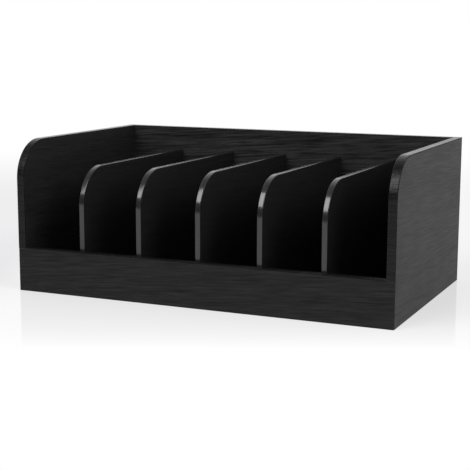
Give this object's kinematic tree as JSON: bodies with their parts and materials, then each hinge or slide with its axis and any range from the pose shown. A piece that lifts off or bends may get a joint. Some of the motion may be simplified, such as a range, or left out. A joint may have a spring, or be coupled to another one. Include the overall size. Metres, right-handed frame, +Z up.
{
  "type": "belt storage box",
  "caption": "Open-topped box of black wood-grain boards with rounded side fronts, a low front and upright dividers, to hold rolled belts side by side.",
  "frame": {"origin": "centre of the underside, on the surface that the box stands on", "axes": "+X across the width to the right, -Y out of the low front, +Z up"},
  "size_m": [0.326, 0.196, 0.126],
  "materials": {
    "wood_grain_board": "fibreboard faced with black wood-grain foil, satin, grain running level",
    "divider_board": "thin black fibreboard, satin",
    "wood_grain_edging": "black wood-grain edge strip, satin",
    "smooth_edging": "smooth dark grey edge strip, satin",
    "spline_wood": "plain plywood, unfinished",
    "brad_steel": "bright steel"
  },
  "bodies": {
    "root": {"base_panel": "wood_grain_board", "front_panel": "wood_grain_board", "back_panel": "wood_grain_board", "left_side_panel": "wood_grain_board", "right_side_panel": "wood_grain_board", "divider_1": "divider_board", "divider_2": "divider_board", "divider_3": "divider_board", "divider_4": "divider_board", "divider_5": "divider_board", "left_side_edge_band": "wood_grain_edging", "right_side_edge_band": "wood_grain_edging", "front_edge_band": "wood_grain_edging", "back_edge_band": "wood_grain_edging", "divider_1_edge_band": "smooth_edging", "divider_2_edge_band": "smooth_edging", "divider_3_edge_band": "smooth_edging", "divider_4_edge_band": "smooth_edging", "divider_5_edge_band": "smooth_edging", "front_left_spline": "spline_wood", "front_right_spline": "spline_wood", "back_left_spline": "spline_wood", "back_right_spline": "spline_wood", "base_brads": "brad_steel"}
  },
  "joints": []
}
